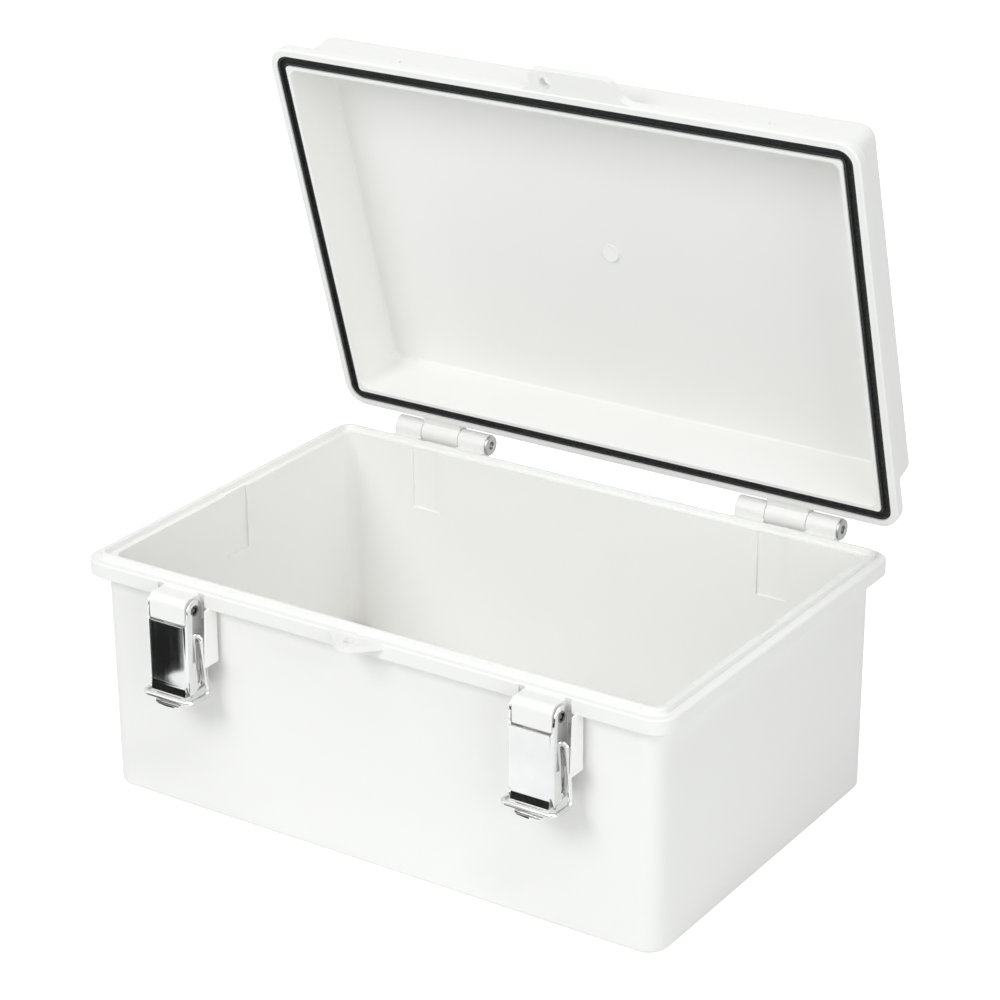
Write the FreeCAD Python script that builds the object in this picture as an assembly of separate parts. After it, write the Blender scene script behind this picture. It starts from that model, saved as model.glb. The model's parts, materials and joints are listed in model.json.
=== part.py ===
"""Hinged ABS enclosure with a sealed lid, two moulded hinges and two draw latches.

Frame: X to the right along the latch side, -Y towards the latches, +Y towards the hinges, Z up.
The origin is the centre of the plane on which the four corner feet stand. Lengths are millimetres.
The lid is drawn closed and then opened about the hinge axis by LID_OPEN_DEG, its resting angle.
"""
import FreeCAD
import Part

import math
import os

Vec = FreeCAD.Vector
X_AXIS = Vec(1, 0, 0)

# Overall shell
WIDTH = 290.0
DEPTH = 190.9
BASE_HEIGHT = 107.9
LID_HEIGHT = 30.8
PARTING_GAP = 0.3
LID_OPEN_DEG = 73.6

# Base tray
FOOT_HEIGHT = 1.0
FOOT_REACH = 21.0
FOOT_INSET = 0.8
WALL = 4.0
FLOOR = 4.0
BODY_CORNER_R = 9.5
BODY_DRAFT = 0.35
BOTTOM_EDGE_R = 2.0
CAVITY_EDGE_R = 2.5

# Flanges round the parting line
FLANGE_OVERHANG = 5.8
FLANGE_CORNER_R = 10.0
BASE_FLANGE = 7.2
LID_FLANGE = 5.6
FLANGE_EDGE_R = 0.9

# Tongue on the base rim and gasket in the lid
TONGUE_INSET = 4.7
TONGUE_WIDTH = 1.9
TONGUE_HEIGHT = 2.5
TONGUE_EDGE_R = 0.5
TONGUE_CLEARANCE = 0.3
GROOVE_INSET = 3.35
GROOVE_WIDTH = 4.8
GROOVE_DEPTH = 3.7
GASKET_CLEARANCE = 0.05
GASKET_RECESS = 0.6

# Lid dome
DOME_INSET = 7.4
DOME_CORNER_R = 6.5
DOME_DRAFT = 1.0
DOME_EDGE_R = 3.0
LID_WALL = 2.4
LID_ROOF = 3.0
LID_CAVITY_EDGE_R = 1.4
GATE_R = 4.0
GATE_HEIGHT = 0.4

# Shallow relief pockets inside the base walls
POCKET_WIDTH = 15.0
POCKET_DEPTH = 1.0
POCKET_DROP = 29.9

# Corner bosses with threaded inserts
BOSS_INSET_X = 13.2
BOSS_INSET_Y = 12.65
BOSS_R = 6.0
BOSS_HEIGHT = 5.5
PLATE_INSERT_R = 2.8
PLATE_INSERT_BORE_R = 1.65
PLATE_INSERT_LENGTH = 4.0
WALL_INSERT_R = 3.4
WALL_INSERT_BORE_R = 2.1
WALL_INSERT_LENGTH = 4.4
INSERT_CLEARANCE = 0.03
INSERT_SINK = 0.2

# Hinges
HINGE_FROM_END = 53.7
HINGE_SHIFT = -1.2
HINGE_LENGTH = 50.0
HINGE_OUT = 8.0
HINGE_RISE = 1.8
BARREL_R = 5.0
LID_KNUCKLE = 20.0
KNUCKLE_GAP = 0.3
WEB_SINK = 0.6
HINGE_PIN_R = 2.5
PIN_CLEARANCE = 0.05
PIN_HEAD_R = 4.6
PIN_HEAD_HEIGHT = 1.1
PIN_HEAD_CLEARANCE = 0.05
PIN_SOCKET_R = 1.8
PIN_SOCKET_DEPTH = 1.5

# Latch lever and its pivot
LATCH_FROM_END = 54.7
PIVOT_OUT = 4.5
PIVOT_DROP = 6.7
PIVOT_PIN_R = 2.0
PIVOT_HOLLOW_R = 1.2
PIVOT_HOLLOW_DEPTH = 2.0
PIVOT_PROUD = 0.25
SHEET = 1.0
LEVER_HALF_WIDTH = 10.6
EAR_R = 4.7
PLATE_OUT = 6.35
PLATE_TOP_DROP = 6.2
PLATE_BEND_DROP = 34.2
PLATE_FOOT_DROP = 38.7
PLATE_FOOT_BACK = 1.3
SIDE_BACK_OUT = 2.95
SIDE_BACK_DROP = 34.7
TAB_WIDTH = 13.0
TAB_KNEE_DROP = 41.0
TAB_TIP_DROP = 42.7
TAB_TIP_OUT = 2.0
TAB_BEND_R = 1.5
SIDE_SLOT_R = 1.0
SIDE_SLOT_TOP_DROP = 15.5
SIDE_SLOT_FOOT_DROP = 32.5
SIDE_SLOT_OUT = 0.6

# Latch bail
WIRE_R = 1.15
EYE_BACK = 1.25
EYE_DROP = 12.2
EYE_CLEARANCE = 0.06
EYE_BEND_R = 1.5
BAIL_SIDE_GAP = 0.55
BAIL_CORNER_BACK = 3.2
BAIL_LENGTH = 28.0
BAIL_BAR_OUT = 9.4
BAIL_BAR_RISE = 0.5
BAIL_BEND_R = 2.5
PEG_LENGTH = 3.4

# Latch housing moulded on the base
KNUCKLE_SIDE_GAP = 0.35
KNUCKLE_OUT = 5.05
KNUCKLE_TOP = 5.4
KNUCKLE_TOP_R = 3.6
KNUCKLE_FOOT_R = 1.2
CHEEK_GAP = 0.3
CHEEK_THICKNESS = 1.0
CHEEK_TOP_OUT = 2.2
CHEEK_FOOT_OUT = 3.7
CHEEK_DROP = 32.3
CHEEK_WALL_GAP = 1.2
EAR_POCKET_DEPTH = 2.6
EAR_POCKET_GAP = 1.7

# Keepers on the lid flange
KEEPER_HALF_WIDTH = 10.4
KEEPER_GAP = 0.3
KEEPER_THICKNESS = 2.8
KEEPER_HEIGHT = 4.2
KEEPER_EDGE_R = 0.8

# Padlock eyes
EYELET_OUT = 4.5
EYELET_HOLE_R = 2.75
EYELET_R = 6.4
BASE_EYELET_THICKNESS = 2.6
BASE_EYELET_HALF = 13.5
LID_EYELET_THICKNESS = 4.0
LID_TAB_REACH = 10.4
LID_TAB_LEFT = -7.6
LID_TAB_RIGHT = 31.3
LID_TAB_LEFT_FOOT = -8.2
LID_TAB_RIGHT_FOOT = 36.2
LID_TAB_FOOT_OUT = 2.0
LID_TAB_FLARE = 4.5
LID_TAB_CORNER_R = 4.0
LID_TAB_FOOT_R = 3.5
EYELET_EDGE_R = 0.5

# Derived places
BODY_WIDTH = WIDTH - 2 * FLANGE_OVERHANG
BODY_DEPTH = DEPTH - 2 * FLANGE_OVERHANG
BOSS_X = BODY_WIDTH / 2 - BOSS_INSET_X
BOSS_Y = BODY_DEPTH / 2 - BOSS_INSET_Y
RIM_Z = FOOT_HEIGHT + BASE_HEIGHT
LID_Z = RIM_Z + PARTING_GAP
LID_FLANGE_TOP = LID_Z + LID_FLANGE
LID_TOP = LID_Z + LID_HEIGHT
FRONT_Y = -DEPTH / 2
BACK_Y = DEPTH / 2
HINGE_X = WIDTH / 2 - HINGE_FROM_END
LATCH_X = WIDTH / 2 - LATCH_FROM_END
HINGE_Y = BACK_Y + HINGE_OUT
HINGE_Z = RIM_Z + HINGE_RISE
PIVOT_Y = FRONT_Y - PIVOT_OUT
PIVOT_Z = RIM_Z - PIVOT_DROP
EYE_Y = PIVOT_Y + EYE_BACK
EYE_Z = PIVOT_Z - EYE_DROP
BAIL_HALF_WIDTH = LEVER_HALF_WIDTH + BAIL_SIDE_GAP + WIRE_R
CHEEK_INNER = BAIL_HALF_WIDTH + WIRE_R + CHEEK_GAP
SIDES = (("left", -1), ("right", 1))


def rounded_wire(width, depth, radius, z):
    """Closed rounded rectangle centred on the Z axis at height z."""
    hx, hy = width / 2, depth / 2
    cx, cy = hx - radius, hy - radius
    corners = ((cx, -cy, -90), (cx, cy, 0), (-cx, cy, 90), (-cx, -cy, 180))
    arcs = []
    for x, y, start in corners:
        points = []
        for turn in (0, 45, 90):
            angle = math.radians(start + turn)
            points.append(Vec(x + radius * math.cos(angle), y + radius * math.sin(angle), z))
        arcs.append(points)
    edges = []
    for index, points in enumerate(arcs):
        edges.append(Part.Arc(*points).toShape())
        edges.append(Part.makeLine(points[2], arcs[(index + 1) % 4][0]))
    return Part.Wire(edges)


def rounded_block(width, depth, radius, z_low, z_high):
    """Upright block with rounded vertical corners."""
    face = Part.Face(rounded_wire(width, depth, radius, z_low))
    return face.extrude(Vec(0, 0, z_high - z_low))


def tapered_block(low, high, z_low, z_high):
    """Block between two rounded rectangles, each given as (width, depth, radius)."""
    return Part.makeLoft([rounded_wire(*low, z_low), rounded_wire(*high, z_high)], True, True)


def flange_block(inset, z_low, z_high):
    """Block whose outline follows the flange edge at an even inset."""
    radius = FLANGE_CORNER_R - inset
    return rounded_block(WIDTH - 2 * inset, DEPTH - 2 * inset, radius, z_low, z_high)


def flange_ring(inset, width, z_low, z_high):
    """Closed ring that follows the flange edge."""
    return flange_block(inset, z_low, z_high).cut(flange_block(inset + width, z_low, z_high))


def edges_at(shape, z):
    """Edges that lie flat at height z."""
    box_of = [(edge, edge.BoundBox) for edge in shape.Edges]
    return [edge for edge, box in box_of if abs(box.ZMin - z) < 1e-4 and abs(box.ZMax - z) < 1e-4]


def plate_yz(points, x_low, x_high):
    """Extrudes a closed outline of (y, z) points from x_low to x_high."""
    corners = [Vec(x_low, y, z) for y, z in points]
    face = Part.Face(Part.makePolygon(corners + corners[:1]))
    return face.extrude(Vec(x_high - x_low, 0, 0))


def rod_x(y, z, radius, x_low, x_high):
    """Cylinder along X."""
    return Part.makeCylinder(radius, x_high - x_low, Vec(x_low, y, z), X_AXIS)


def rounded_path(points, radii):
    """Open wire through points, with an arc of the given radius at each inner point."""
    edges = []
    start = points[0]
    for before, corner, after, radius in zip(points, points[1:], points[2:], radii):
        to_start = (before - corner).normalize()
        to_end = (after - corner).normalize()
        half = to_start.getAngle(to_end) / 2
        setback = radius / math.tan(half)
        first = corner + to_start * setback
        last = corner + to_end * setback
        bisector = (to_start + to_end).normalize()
        middle = corner + bisector * (radius / math.sin(half) - radius)
        edges.append(Part.makeLine(start, first))
        edges.append(Part.Arc(first, middle, last).toShape())
        start = last
    edges.append(Part.makeLine(start, points[-1]))
    return Part.Wire(edges)


def swept_sheet(points, radii, width, centre_x):
    """Bent strip of sheet metal along a path of (y, z) points, centred on centre_x."""
    path = rounded_path([Vec(centre_x, y, z) for y, z in points], radii)
    start = path.OrderedVertexes[0].Point
    along = (path.OrderedVertexes[1].Point - start).normalize()
    normal = along.cross(X_AXIS) * (SHEET / 2)
    half = X_AXIS * (width / 2)
    corners = [start - half - normal, start + half - normal, start + half + normal, start - half + normal]
    profile = Part.makePolygon(corners + corners[:1])
    return path.makePipeShell([profile], True, False)


def base_shell():
    """Open tray with its flange, tongue and cavity."""
    low = (BODY_WIDTH - 2 * BODY_DRAFT, BODY_DEPTH - 2 * BODY_DRAFT, BODY_CORNER_R)
    high = (BODY_WIDTH, BODY_DEPTH, BODY_CORNER_R)
    body = tapered_block(low, high, FOOT_HEIGHT, RIM_Z)
    body = body.makeFillet(BOTTOM_EDGE_R, edges_at(body, FOOT_HEIGHT))
    flange = flange_block(0, RIM_Z - BASE_FLANGE, RIM_Z)
    rims = edges_at(flange, RIM_Z) + edges_at(flange, RIM_Z - BASE_FLANGE)
    flange = flange.makeFillet(FLANGE_EDGE_R, rims)
    tongue = flange_ring(TONGUE_INSET, TONGUE_WIDTH, RIM_Z, RIM_Z + TONGUE_HEIGHT)
    tongue = tongue.makeFillet(TONGUE_EDGE_R, edges_at(tongue, RIM_Z + TONGUE_HEIGHT))
    floor_z = FOOT_HEIGHT + FLOOR
    inner_r = BODY_CORNER_R - WALL
    inner_low = (low[0] - 2 * WALL, low[1] - 2 * WALL, inner_r)
    inner_high = (high[0] - 2 * WALL, high[1] - 2 * WALL, inner_r)
    cavity = tapered_block(inner_low, inner_high, floor_z, RIM_Z + TONGUE_HEIGHT)
    cavity = cavity.makeFillet(CAVITY_EDGE_R, edges_at(cavity, floor_z))
    return body.fuse(flange).cut(cavity).fuse(tongue)


def wall_pockets():
    """Shallow reliefs in the inner faces, behind the hinges and latches and on both side walls."""
    wall_x = BODY_WIDTH / 2 - WALL + POCKET_DEPTH
    wall_y = BODY_DEPTH / 2 - WALL + POCKET_DEPTH
    z_low = RIM_Z - POCKET_DROP
    height = POCKET_DROP + TONGUE_HEIGHT
    long_cut = Part.makeBox(POCKET_WIDTH, 2 * wall_y, height, Vec(-POCKET_WIDTH / 2, -wall_y, z_low))
    cross_cut = Part.makeBox(2 * wall_x, POCKET_WIDTH, height, Vec(-wall_x, -POCKET_WIDTH / 2, z_low))
    cuts = [cross_cut]
    for _, side in SIDES:
        cuts.append(long_cut.translated(Vec(side * HINGE_X, 0, 0)))
    return cuts


def corner_feet():
    """Low pads under the four corners that follow the outline of the body."""
    width = BODY_WIDTH - 2 * (BODY_DRAFT + BOTTOM_EDGE_R + FOOT_INSET)
    depth = BODY_DEPTH - 2 * (BODY_DRAFT + BOTTOM_EDGE_R + FOOT_INSET)
    radius = BODY_CORNER_R - BOTTOM_EDGE_R
    slab = rounded_block(width, depth, radius, 0, FOOT_HEIGHT)
    feet = []
    for sx in (-1, 1):
        for sy in (-1, 1):
            corner = Vec(sx * (width / 2 - FOOT_REACH / 2), sy * (depth / 2 - FOOT_REACH / 2), 0)
            square = rounded_block(FOOT_REACH, FOOT_REACH, radius, 0, FOOT_HEIGHT)
            feet.append(slab.common(square.translated(corner)))
    return feet


def boss_centres():
    """Names and centres of the four corner bosses."""
    places = []
    for row, sy in (("front", -1), ("back", 1)):
        for column, sx in SIDES:
            places.append((f"{row}_{column}", Vec(sx * BOSS_X, sy * BOSS_Y, 0)))
    return places


def hinge_web(x_low, x_high, on_lid):
    """Solid knuckle: a barrel and the web that carries it on the base or lid flange."""
    barrel = rod_x(HINGE_Y, HINGE_Z, BARREL_R, x_low, x_high)
    root_y = BACK_Y - FLANGE_EDGE_R
    if on_lid:
        outline = ((root_y, LID_Z + WEB_SINK), (HINGE_Y, LID_Z + WEB_SINK),
                   (HINGE_Y, HINGE_Z + BARREL_R), (root_y, LID_FLANGE_TOP - FLANGE_EDGE_R))
    else:
        outline = ((root_y, RIM_Z - BASE_FLANGE + FLANGE_EDGE_R), (HINGE_Y, HINGE_Z - BARREL_R),
                   (HINGE_Y, RIM_Z - WEB_SINK), (root_y, RIM_Z - WEB_SINK))
    return barrel.fuse(plate_yz(outline, x_low, x_high))


def hinge_centre(side):
    """Middle of the left (-1) or right (1) hinge along X."""
    return side * HINGE_X + HINGE_SHIFT


def hinge_bore(centre):
    """Bore for one hinge pin through its three knuckles."""
    half = HINGE_LENGTH / 2
    return rod_x(HINGE_Y, HINGE_Z, HINGE_PIN_R + PIN_CLEARANCE, centre - half, centre + half)


def base_knuckles(centre):
    """The two outer knuckles of one hinge."""
    half = HINGE_LENGTH / 2
    inner = LID_KNUCKLE / 2 + KNUCKLE_GAP
    first = hinge_web(centre - half, centre - inner, False)
    second = hinge_web(centre + inner, centre + half, False)
    return [first, second]


def latch_housing(centre):
    """Knuckle that carries the lever pin, and the two cheeks that guard the bail."""
    half = LEVER_HALF_WIDTH - SHEET - KNUCKLE_SIDE_GAP
    wall_y = FRONT_Y + FLANGE_OVERHANG + WALL / 2
    front_y = PIVOT_Y - KNUCKLE_OUT
    foot_z = PIVOT_Z - PLATE_TOP_DROP
    top_z = PIVOT_Z + KNUCKLE_TOP
    outline = ((wall_y, foot_z), (front_y, foot_z), (front_y, top_z), (FRONT_Y + 1.0, top_z),
               (FRONT_Y + 1.0, RIM_Z - BASE_FLANGE / 2), (wall_y, RIM_Z - BASE_FLANGE / 2))
    block = plate_yz(outline, centre - half, centre + half)
    rounded = []
    for z, radius in ((top_z, KNUCKLE_TOP_R), (foot_z, KNUCKLE_FOOT_R)):
        for edge in block.Edges:
            box = edge.BoundBox
            if box.XLength > half and abs(box.YMin - front_y) < 1e-4 and abs(box.ZMin - z) < 1e-4:
                rounded.append((edge, radius))
    for edge, radius in rounded:
        block = block.makeFillet(radius, [nearest_edge(block, edge)])
    pieces = [block]
    back_y = FRONT_Y + FLANGE_OVERHANG - CHEEK_WALL_GAP
    cheek_low = RIM_Z - CHEEK_DROP
    cheek_top = RIM_Z - BASE_FLANGE
    root_z = cheek_top + FLANGE_EDGE_R
    outline = ((back_y, cheek_low), (FRONT_Y - CHEEK_FOOT_OUT, cheek_low), (FRONT_Y - CHEEK_TOP_OUT, cheek_top),
               (FRONT_Y + FLANGE_EDGE_R, root_z), (back_y, root_z))
    for side in (-1, 1):
        near = centre + side * CHEEK_INNER
        far = near + side * CHEEK_THICKNESS
        pieces.append(plate_yz(outline, min(near, far), max(near, far)))
    return pieces


def ear_pockets(centre):
    """Slanted pockets in the flange face beside the knuckle, in which the ears of the lever turn."""
    ahead_y = FRONT_Y - FLANGE_EDGE_R
    outline = ((ahead_y, RIM_Z), (FRONT_Y, RIM_Z), (FRONT_Y + EAR_POCKET_DEPTH, RIM_Z - BASE_FLANGE),
               (ahead_y, RIM_Z - BASE_FLANGE))
    near = LEVER_HALF_WIDTH - SHEET - KNUCKLE_SIDE_GAP
    far = LEVER_HALF_WIDTH + EAR_POCKET_GAP
    left = plate_yz(outline, centre - far, centre - near)
    right = plate_yz(outline, centre + near, centre + far)
    return [left, right]


def nearest_edge(shape, wanted):
    """Edge of shape whose middle lies closest to the middle of the wanted edge."""
    target = wanted.BoundBox.Center
    return min(shape.Edges, key=lambda edge: edge.BoundBox.Center.distanceToPoint(target))


def base_tray():
    """Moulded base: tray, feet, bosses, hinge knuckles and latch housings in one piece."""
    tray = base_shell().cut(wall_pockets())
    additions = corner_feet()
    boss_top = FOOT_HEIGHT + FLOOR + BOSS_HEIGHT
    holes = []
    for _, centre in boss_centres():
        additions.append(Part.makeCylinder(BOSS_R, boss_top - FOOT_HEIGHT - FLOOR / 2,
                                           centre + Vec(0, 0, FOOT_HEIGHT + FLOOR / 2)))
        holes.append(Part.makeCylinder(PLATE_INSERT_R, PLATE_INSERT_LENGTH + INSERT_SINK,
                                       centre + Vec(0, 0, boss_top - PLATE_INSERT_LENGTH - INSERT_SINK)))
        holes.append(Part.makeCylinder(WALL_INSERT_R, WALL_INSERT_LENGTH + INSERT_SINK, centre))
    for _, side in SIDES:
        additions += base_knuckles(hinge_centre(side))
        additions += latch_housing(side * LATCH_X)
        holes += ear_pockets(side * LATCH_X)
        holes.append(hinge_bore(hinge_centre(side)))
        holes.append(rod_x(PIVOT_Y, PIVOT_Z, PIVOT_PIN_R + PIN_CLEARANCE,
                           side * LATCH_X - LEVER_HALF_WIDTH, side * LATCH_X + LEVER_HALF_WIDTH))
    return tray.fuse(additions).removeSplitter().cut(holes)


def lid_shell():
    """Closed lid: flange, dome, cavity and gasket groove."""
    flange = flange_block(0, LID_Z, LID_FLANGE_TOP)
    flange = flange.makeFillet(FLANGE_EDGE_R, edges_at(flange, LID_FLANGE_TOP) + edges_at(flange, LID_Z))
    low = (WIDTH - 2 * DOME_INSET, DEPTH - 2 * DOME_INSET, DOME_CORNER_R)
    high = (low[0] - 2 * DOME_DRAFT, low[1] - 2 * DOME_DRAFT, DOME_CORNER_R)
    dome = tapered_block(low, high, LID_Z, LID_TOP)
    dome = dome.makeFillet(DOME_EDGE_R, edges_at(dome, LID_TOP))
    inner_r = DOME_CORNER_R - LID_WALL
    inner_low = (low[0] - 2 * LID_WALL, low[1] - 2 * LID_WALL, inner_r)
    inner_high = (high[0] - 2 * LID_WALL, high[1] - 2 * LID_WALL, inner_r)
    cavity = tapered_block(inner_low, inner_high, LID_Z, LID_TOP - LID_ROOF)
    cavity = cavity.makeFillet(LID_CAVITY_EDGE_R, edges_at(cavity, LID_TOP - LID_ROOF))
    groove = flange_ring(GROOVE_INSET, GROOVE_WIDTH, LID_Z, LID_Z + GROOVE_DEPTH)
    return flange.fuse(dome).cut([cavity, groove])


def keeper(centre):
    """Ridge on the lid flange behind which the bail hooks."""
    back_y = EYE_Y + BAIL_BAR_OUT - WIRE_R - KEEPER_GAP
    front_y = back_y - KEEPER_THICKNESS
    top_z = LID_FLANGE_TOP + KEEPER_HEIGHT
    outline = ((back_y, LID_FLANGE_TOP - 1.0), (back_y, top_z), (front_y, top_z), (front_y, LID_FLANGE_TOP - 1.0))
    ridge = plate_yz(outline, centre - KEEPER_HALF_WIDTH, centre + KEEPER_HALF_WIDTH)
    return ridge.makeFillet(KEEPER_EDGE_R, edges_at(ridge, top_z))


def opened(shape):
    """Turns a closed lid piece to the resting angle of the lid."""
    turned = shape.copy()
    turned.rotate(Vec(0, HINGE_Y, HINGE_Z), X_AXIS, -LID_OPEN_DEG)
    return turned


def lid_cover():
    """Moulded lid: shell, keepers and the middle hinge knuckles in one piece, closed."""
    lid = lid_shell()
    gate = Part.makeCylinder(GATE_R, GATE_HEIGHT + 1.0, Vec(0, 0, LID_TOP - LID_ROOF - GATE_HEIGHT))
    additions = [gate]
    holes = []
    for _, side in SIDES:
        centre = hinge_centre(side)
        additions.append(hinge_web(centre - LID_KNUCKLE / 2, centre + LID_KNUCKLE / 2, True))
        additions.append(keeper(side * LATCH_X))
        holes.append(hinge_bore(centre))
    return lid.fuse(additions).removeSplitter().cut(holes)


def lid_gasket():
    """Seal in the lid groove, closed, with a channel that takes the tongue of the base."""
    inset = GROOVE_INSET + GASKET_CLEARANCE
    width = GROOVE_WIDTH - 2 * GASKET_CLEARANCE
    z_low = LID_Z + GASKET_RECESS
    seal = flange_ring(inset, width, z_low, LID_Z + GROOVE_DEPTH)
    channel_top = RIM_Z + TONGUE_HEIGHT + TONGUE_CLEARANCE
    channel = flange_ring(TONGUE_INSET - TONGUE_CLEARANCE, TONGUE_WIDTH + 2 * TONGUE_CLEARANCE,
                          z_low, channel_top)
    return seal.cut(channel)


def eyelet_hole(z_low, thickness):
    """Padlock hole shared by both eyes when the lid is closed."""
    return Part.makeCylinder(EYELET_HOLE_R, thickness, Vec(0, FRONT_Y - EYELET_OUT, z_low))


def base_padlock_eye():
    """Eye on the base flange: a round end with straight sides that run back at a slant."""
    z_low = RIM_Z - BASE_EYELET_THICKNESS
    centre_y = FRONT_Y - EYELET_OUT
    corner = EYELET_R * math.sqrt(0.5)
    outline = ((-BASE_EYELET_HALF, FRONT_Y), (BASE_EYELET_HALF, FRONT_Y),
               (corner, centre_y - corner), (-corner, centre_y - corner))
    corners = [Vec(x, y, z_low) for x, y in outline]
    web = Part.Face(Part.makePolygon(corners + corners[:1])).extrude(Vec(0, 0, BASE_EYELET_THICKNESS))
    disc = Part.makeCylinder(EYELET_R, BASE_EYELET_THICKNESS, Vec(0, centre_y, z_low))
    front = Part.makeBox(WIDTH, EYELET_OUT + 2 * EYELET_R, BASE_EYELET_THICKNESS,
                         Vec(-WIDTH / 2, FRONT_Y - EYELET_OUT - 2 * EYELET_R, z_low))
    eye = web.fuse(disc).common(front).removeSplitter()
    return eye.cut(eyelet_hole(z_low, BASE_EYELET_THICKNESS))


def lid_padlock_eye():
    """Eye and finger pull in one tab that flares into the lid flange, closed."""
    outer_y = FRONT_Y - LID_TAB_REACH
    z_low = LID_Z + EYELET_EDGE_R
    foot_y = FRONT_Y - LID_TAB_FOOT_OUT
    corners = ((LID_TAB_LEFT_FOOT - LID_TAB_FLARE, FRONT_Y), (LID_TAB_LEFT_FOOT, foot_y), (LID_TAB_LEFT, outer_y),
               (LID_TAB_RIGHT, outer_y), (LID_TAB_RIGHT_FOOT, foot_y), (LID_TAB_RIGHT_FOOT + LID_TAB_FLARE, FRONT_Y))
    points = [Vec(x, y, z_low) for x, y in corners]
    path = rounded_path(points, [LID_TAB_FOOT_R, LID_TAB_CORNER_R, LID_TAB_CORNER_R, LID_TAB_FOOT_R])
    outline = Part.Wire(path.Edges + [Part.makeLine(points[-1], points[0])])
    tab = Part.Face(outline).extrude(Vec(0, 0, LID_EYELET_THICKNESS))
    return tab.cut(eyelet_hole(z_low, LID_EYELET_THICKNESS))


def hinge_pin(centre):
    """Headed pin through the three knuckles, with a socket in its head."""
    left = centre - HINGE_LENGTH / 2
    seat = centre + HINGE_LENGTH / 2 + PIN_HEAD_CLEARANCE
    right = seat + PIN_HEAD_HEIGHT
    pin = rod_x(HINGE_Y, HINGE_Z, HINGE_PIN_R, left, right)
    head = rod_x(HINGE_Y, HINGE_Z, PIN_HEAD_R, seat, right)
    socket = rod_x(HINGE_Y, HINGE_Z, PIN_SOCKET_R, right - PIN_SOCKET_DEPTH, right)
    return pin.fuse(head).cut(socket)


def threaded_insert(centre, radius, bore, z_low, length):
    """Brass bush pressed into a boss; the thread is drawn as a plain bore."""
    place = centre + Vec(0, 0, z_low)
    outer = Part.makeCylinder(radius - INSERT_CLEARANCE, length, place)
    return outer.cut(Part.makeCylinder(bore, length, place))


def pivot_pin(centre):
    """Hollow-ended pin on which one lever turns."""
    half = LEVER_HALF_WIDTH + PIVOT_PROUD
    pin = rod_x(PIVOT_Y, PIVOT_Z, PIVOT_PIN_R, centre - half, centre + half)
    for side in (-1, 1):
        end = centre + side * half
        inner = end - side * PIVOT_HOLLOW_DEPTH
        pin = pin.cut(rod_x(PIVOT_Y, PIVOT_Z, PIVOT_HOLLOW_R, min(end, inner), max(end, inner)))
    return pin


def lever_side(x_low, x_high):
    """One side wall of the lever: a round ear that runs down into a tapered wall with a slot."""
    ear = rod_x(PIVOT_Y, PIVOT_Z, EAR_R, x_low, x_high)
    plate_y = PIVOT_Y - PLATE_OUT
    back_y = PIVOT_Y + SIDE_BACK_OUT
    outline = ((PIVOT_Y - EAR_R, PIVOT_Z), (plate_y, PIVOT_Z - PLATE_TOP_DROP),
               (plate_y, PIVOT_Z - PLATE_BEND_DROP),
               (plate_y + PLATE_FOOT_BACK, PIVOT_Z - PLATE_FOOT_DROP),
               (back_y, PIVOT_Z - SIDE_BACK_DROP), (PIVOT_Y + EAR_R, PIVOT_Z))
    wall = ear.fuse(plate_yz(outline, x_low, x_high))
    slot_y = PIVOT_Y + SIDE_SLOT_OUT
    slot_top = PIVOT_Z - SIDE_SLOT_TOP_DROP
    slot_foot = PIVOT_Z - SIDE_SLOT_FOOT_DROP
    outline = ((slot_y - SIDE_SLOT_R, slot_top), (slot_y + SIDE_SLOT_R, slot_top),
               (slot_y + SIDE_SLOT_R, slot_foot), (slot_y - SIDE_SLOT_R, slot_foot))
    slot = plate_yz(outline, x_low, x_high)
    slot = slot.fuse([rod_x(slot_y, z, SIDE_SLOT_R, x_low, x_high) for z in (slot_top, slot_foot)])
    return wall.cut(slot)


def latch_lever(centre):
    """Folded sheet lever: two eared side walls, a front plate and a finger tab."""
    outer = LEVER_HALF_WIDTH
    inner = LEVER_HALF_WIDTH - SHEET
    sides = [lever_side(centre - outer, centre - inner), lever_side(centre + inner, centre + outer)]
    mid_y = PIVOT_Y - PLATE_OUT + SHEET / 2
    plate_path = ((mid_y, PIVOT_Z - PLATE_TOP_DROP), (mid_y, PIVOT_Z - PLATE_BEND_DROP),
                  (mid_y + PLATE_FOOT_BACK, PIVOT_Z - PLATE_FOOT_DROP))
    plate = swept_sheet(plate_path, [TAB_BEND_R], 2 * outer, centre)
    tab_path = ((mid_y + PLATE_FOOT_BACK, PIVOT_Z - PLATE_FOOT_DROP + SHEET / 2),
                (mid_y + PLATE_FOOT_BACK, PIVOT_Z - TAB_KNEE_DROP),
                (mid_y - TAB_TIP_OUT, PIVOT_Z - TAB_TIP_DROP))
    tab = swept_sheet(tab_path, [TAB_BEND_R], TAB_WIDTH, centre)
    lever = plate.fuse(sides + [tab]).removeSplitter()
    pin_hole = rod_x(PIVOT_Y, PIVOT_Z, PIVOT_PIN_R + PIN_CLEARANCE, centre - outer, centre + outer)
    eye_hole = rod_x(EYE_Y, EYE_Z, WIRE_R + EYE_CLEARANCE, centre - outer, centre + outer)
    return lever.cut([pin_hole, eye_hole])


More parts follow.
